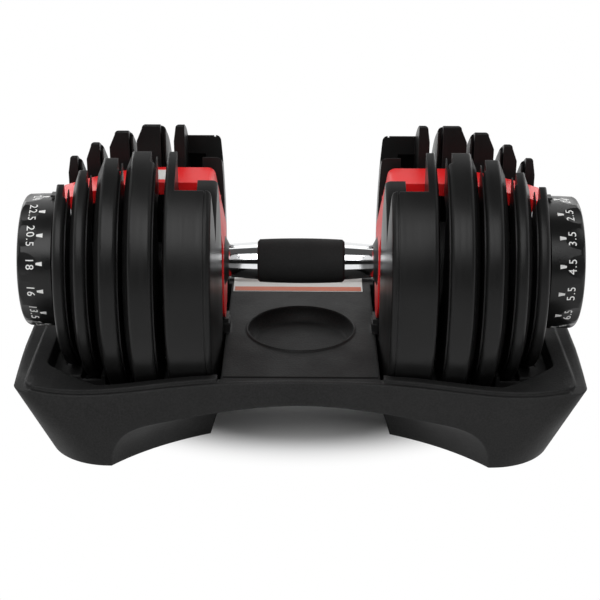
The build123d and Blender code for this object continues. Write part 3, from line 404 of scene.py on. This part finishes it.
def finish_nodes():
    """Give every solid the material of its slot and smooth shading, crisper on the dials."""
    slots = {row["node"]: row["material_slot"] for row in frame["record"]["subparts"]}
    plain = soft_shading("soft_shading", SHARP_ANGLE)
    crisp = soft_shading("dial_shading", DIAL_SHARP_ANGLE)
    for name, node in NODES.items():
        node.data.materials.clear()
        node.data.materials.append(MATERIALS[slots[name]])
        shading = crisp if name.endswith("_dial") else plain
        node.modifiers.new("soft_shading", "NODES").node_group = shading


def surface_tree(node_name):
    """A search tree over a solid's faces."""
    mesh = NODES[node_name].data
    mesh.calc_loop_triangles()
    points = [vertex.co for vertex in mesh.vertices]
    triangles = [tuple(triangle.vertices) for triangle in mesh.loop_triangles]
    return BVHTree.FromPolygons(points, triangles)


def add_object(name, data):
    """A new object in the scene."""
    item = bpy.data.objects.new(name, data)
    bpy.context.scene.collection.objects.link(item)
    return item


def new_piece(name, shapes, body, material):
    """Put shapes, as one mesh, on a body."""
    whole = bmesh.new()
    for shape in shapes:
        part = bpy.data.meshes.new("part")
        shape.to_mesh(part)
        shape.free()
        whole.from_mesh(part)
        bpy.data.meshes.remove(part)
    bmesh.ops.recalc_face_normals(whole, faces=whole.faces)
    mesh = bpy.data.meshes.new(name)
    whole.to_mesh(mesh)
    whole.free()
    mesh.materials.append(MATERIALS[material])
    piece = add_object(name, mesh)
    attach(piece, body)


def letters(text):
    """One number as a closed flat shape, centred, with its tops towards +Y."""
    curve = bpy.data.curves.new("number", "FONT")
    curve.body = text
    curve.size = DIGIT_HEIGHT / DIGIT_CAP_SHARE
    curve.space_character = DIGIT_SPACING
    curve.align_x = "CENTER"
    curve.extrude = PRINT_PROUD
    carrier = add_object("number", curve)
    bpy.context.view_layer.update()
    drawn = carrier.evaluated_get(bpy.context.evaluated_depsgraph_get())
    mesh = bpy.data.meshes.new_from_object(drawn)
    bpy.data.objects.remove(carrier)
    shape = bmesh.new()
    shape.from_mesh(mesh)
    bpy.data.meshes.remove(mesh)
    bmesh.ops.remove_doubles(shape, verts=shape.verts, dist=DIGIT_WELD)
    bmesh.ops.triangulate(shape, faces=shape.faces)
    long_edges = [edge for edge in shape.edges if edge.calc_length() > DIGIT_MESH_STEP]
    bmesh.ops.subdivide_edges(shape, edges=long_edges, cuts=DIGIT_CUTS)
    bmesh.ops.triangulate(shape, faces=shape.faces)
    for vertex in shape.verts:
        vertex.co.y -= DIGIT_HEIGHT / 2
    return shape


def slab(rows, columns, lifts, place):
    """A closed slab between two lifts of a grid; place gives the point at a share along and across."""
    shape = bmesh.new()
    low, high = [], []
    for layer, lift in zip((low, high), lifts):
        for row in range(rows + 1):
            points = [place(row / rows, column / columns) for column in range(columns + 1)]
            layer.append([shape.verts.new(point + Vector((0, 0, lift))) for point in points])
    for row in range(rows):
        for column in range(columns):
            corners = ((row, column), (row, column + 1), (row + 1, column + 1), (row + 1, column))
            shape.faces.new([high[r][c] for r, c in corners])
            shape.faces.new([low[r][c] for r, c in reversed(corners)])
    border = [(0, c) for c in range(columns + 1)]
    border += [(r, columns) for r in range(1, rows + 1)]
    border += [(rows, c) for c in range(columns - 1, -1, -1)]
    border += [(r, 0) for r in range(rows - 1, 0, -1)]
    for (row, column), (next_row, next_column) in zip(border, border[1:] + border[:1]):
        shape.faces.new([
            low[row][column],
            low[next_row][next_column],
            high[next_row][next_column],
            high[row][column],
        ])
    return shape


def pointer_mark():
    """The wedge beside a number: a closed slab, wide at the plates' side."""
    def place(along, across):
        width = MARK_NARROW + (MARK_WIDE - MARK_NARROW) * along
        return Vector(((across - 0.5) * width, (along - 0.5) * MARK_LENGTH, 0))

    return slab(MARK_ROWS, MARK_COLUMNS, (-PRINT_PROUD, PRINT_PROUD), place)


def wrap_on_dial(shape, tree, side, setting, centre_x, radius, axis_height):
    """Bend a flat shape round a dial so that it follows the rim and its finger hollows."""
    for vertex in shape.verts:
        along, up, lift = vertex.co
        turn = side * (setting * STEP_ANGLE - along / radius)
        outward = Vector((0, -sin(turn), cos(turn)))
        start = Vector((side * (centre_x - up), 0, axis_height)) + outward * radius * RAY_START_RADII
        hit = tree.ray_cast(start, -outward)[0]
        vertex.co = hit + outward * lift


def dial_print():
    """The numbers and wedge marks round both dials."""
    for side_name, side in SIDES.items():
        low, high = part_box(f"{side_name}_dial")
        tree = surface_tree(f"{side_name}_dial")
        edge_x = max(abs(low.x), abs(high.x))
        radius = (high.z - low.z) / 2
        axis_height = (high.z + low.z) / 2
        numbers = [letters(weight) for weight in WEIGHTS]
        marks = [pointer_mark() for _ in WEIGHTS]
        prints = (("numbers", numbers, DIGIT_FROM_EDGE), ("marks", marks, MARK_FROM_EDGE))
        for name, shapes, inset in prints:
            for setting, shape in enumerate(shapes):
                wrap_on_dial(shape, tree, side, setting, edge_x - inset, radius, axis_height)
            new_piece(f"{side_name}_dial_{name}", shapes, f"dial_{side_name}", "print_white")


def blank_sheet(name, x_range, y_range, tree, body, material, lift=LABEL_THICKNESS):
    """A thin blank strip that lies on what is under it."""
    x_low, x_high = x_range
    y_low, y_high = y_range
    columns = max(SHEET_FEWEST_CELLS, round((x_high - x_low) / SHEET_STEP))
    rows = max(SHEET_FEWEST_CELLS, round((y_high - y_low) / SHEET_STEP))
    top = CAD_BOX[1][2]

    def place(along, across):
        above = Vector((x_low + (x_high - x_low) * across, y_low + (y_high - y_low) * along, top))
        return tree.ray_cast(above, Vector((0, 0, -1)))[0]

    shape = slab(rows, columns, (lift - LABEL_THICKNESS, lift), place)
    new_piece(name, [shape], body, material)


def thin_details():
    """The blank label, a dark strip of painted groove shade on the deck, and the blank sticker on one arm.
    """
    deck = surface_tree("tray")
    # A dark strip along the deck's front edge paints the shadow of a groove there
    span = (-SHADE_LINE_HALF_LENGTH, SHADE_LINE_HALF_LENGTH)
    depth = (SHADE_LINE_PLACE - SHADE_LINE_WIDTH / 2, SHADE_LINE_PLACE + SHADE_LINE_WIDTH / 2)
    blank_sheet("deck_groove_shade", span, depth, deck, "base", "groove_shade_paint")
    span = (LABEL_LEFT, LABEL_RIGHT)
    depth = (LABEL_FRONT, LABEL_BACK)
    blank_sheet("deck_label", span, depth, deck, "base", "label_paper")
    span = (LABEL_LEFT + LABEL_MARGIN, LABEL_RIGHT - LABEL_MARGIN)
    depth = (LABEL_FRONT + LABEL_MARGIN, LABEL_FRONT + LABEL_MARGIN + LABEL_BAND_DEPTH)
    lift = 2 * LABEL_THICKNESS
    blank_sheet("deck_label_band", span, depth, deck, "base", "label_orange", lift)
    arm = surface_tree("left_end_frame")
    span = (-STICKER_FAR, -STICKER_NEAR)
    depth = (-STICKER_HALF_WIDTH, STICKER_HALF_WIDTH)
    blank_sheet("arm_sticker", span, depth, arm, "handle", "label_paper")


def camera():
    """The camera at the photograph's place, aimed so that the handle falls where it does there."""
    low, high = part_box("grip")
    handle = (low + high) / 2
    elevation = radians(CAMERA_ELEVATION)
    away = Vector((0, -cos(elevation), sin(elevation)))
    lens = bpy.data.cameras.new("camera")
    lens.sensor_width = SENSOR_WIDTH
    lens.lens = SENSOR_WIDTH * FOCAL_PIXELS / IMAGE_SIZE
    view = add_object("camera", lens)
    down = elevation + atan((IMAGE_SIZE / 2 - HANDLE_PIXEL_Y) / FOCAL_PIXELS)
    aside = atan((HANDLE_PIXEL_X - IMAGE_SIZE / 2) / FOCAL_PIXELS)
    turn = Matrix.Rotation(aside, 4, "Z") @ Matrix.Rotation(radians(90) - down, 4, "X")
    turn = turn @ Matrix.Rotation(radians(CAMERA_ROLL), 4, "Z")
    view.matrix_world = Matrix.Translation(handle + away * CAMERA_DISTANCE) @ turn
    bpy.context.scene.camera = view


def soft_lamp(name, power, place, size):
    """A softbox aimed at the handle."""
    lamp = bpy.data.lights.new(name, "AREA")
    lamp.shape = "RECTANGLE"
    lamp.size, lamp.size_y = size
    lamp.energy = power
    holder = add_object(name, lamp)
    low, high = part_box("grip")
    aim = (low + high) / 2 - Vector(place)
    holder.location = place
    holder.rotation_euler = aim.to_track_quat("-Z", "Y").to_euler()


def floor_paint():
    """White floor: lit and shadowed near the object, plain white to camera and metal further out."""
    paint = bpy.data.materials.new("floor")
    paint.use_nodes = True
    tree = paint.node_tree
    nodes = tree.nodes
    links = tree.links
    lit = nodes["Principled BSDF"]
    set_input(lit, "Base Color", (*FLOOR_COLOUR, 1.0))
    set_input(lit, "Roughness", FLOOR_ROUGHNESS)
    set_input(lit, "Specular IOR Level", FLOOR_SPECULAR)
    plain = nodes.new("ShaderNodeEmission")
    place = nodes.new("ShaderNodeTexCoord")
    stretch = nodes.new("ShaderNodeMapping")
    set_input(stretch, "Scale", SHADOW_STRETCH)
    links.new(place.outputs["Object"], stretch.inputs["Vector"])
    away = nodes.new("ShaderNodeVectorMath")
    away.operation = "LENGTH"
    links.new(stretch.outputs["Vector"], away.inputs[0])
    fade = map_range(tree, away.outputs["Value"], SHADOW_NEAR, SHADOW_FAR, course="SMOOTHSTEP")
    rays = nodes.new("ShaderNodeLightPath").outputs
    seen = rays["Is Camera Ray"]
    for ray in ("Is Glossy Ray", "Is Transmission Ray"):
        seen = combine(tree, "MAXIMUM", seen, rays[ray])
    mix = nodes.new("ShaderNodeMixShader")
    links.new(combine(tree, "MULTIPLY", seen, fade), mix.inputs["Fac"])
    links.new(lit.outputs["BSDF"], mix.inputs[1])
    links.new(plain.outputs["Emission"], mix.inputs[2])
    links.new(mix.outputs["Shader"], nodes["Material Output"].inputs["Surface"])
    return paint


def surroundings():
    """A dim room with a pale backdrop: the camera sees all of it white, and metal the backdrop."""
    world = bpy.data.worlds.new("studio")
    world.use_nodes = True
    tree = world.node_tree
    nodes = tree.nodes
    links = tree.links
    direction = nodes.new("ShaderNodeTexCoord")
    parts = nodes.new("ShaderNodeSeparateXYZ")
    links.new(direction.outputs["Generated"], parts.inputs["Vector"])
    back = parts.outputs["Y"]
    level = nodes.new("ShaderNodeValToRGB")
    stops = level.color_ramp.elements
    while len(stops) < len(ROOM_LEVELS):
        stops.new(stops[-1].position)
    for stop, (depth, shade) in zip(stops, ROOM_LEVELS):
        stop.position = (depth + 1) / 2
        stop.color = (*grey(shade), 1.0)
    links.new(map_range(tree, back, -1.0, 1.0), level.inputs["Fac"])
    rays = nodes.new("ShaderNodeLightPath").outputs
    behind = map_range(tree, back, BACKDROP_EDGE, BACKDROP_FULL)
    mirrored = combine(tree, "MULTIPLY", rays["Is Glossy Ray"], behind)
    strength = level.outputs["Color"]
    for seen in (rays["Is Camera Ray"], rays["Is Transmission Ray"], mirrored):
        strength = combine(tree, "MAXIMUM", strength, seen)
    light = nodes["Background"]
    set_input(light, "Color", (*grey(1.0), 1.0))
    links.new(strength, light.inputs["Strength"])
    return world


def studio():
    """White floor, a dim room with a pale backdrop, and soft lamps."""
    mesh = bpy.data.meshes.new("floor")
    half = FLOOR_SIZE / 2
    corners = [(-half, -half, 0), (half, -half, 0), (half, half, 0), (-half, half, 0)]
    mesh.from_pydata(corners, [], [(0, 1, 2, 3)])
    mesh.materials.append(floor_paint())
    floor = add_object("floor", mesh)

    bpy.context.scene.world = surroundings()
    soft_lamp("key", KEY_POWER, KEY_PLACE, KEY_SIZE)
    soft_lamp("top", TOP_POWER, TOP_PLACE, TOP_SIZE)
    for name, power, (aside, behind, height), size in SIDE_LAMPS:
        for side_name, side in SIDES.items():
            soft_lamp(f"{name}_{side_name}", power, (side * aside, behind, height), size)


bpy.context.scene.view_settings.view_transform = "Standard"
finish_nodes()
dial_print()
thin_details()
camera()
studio()
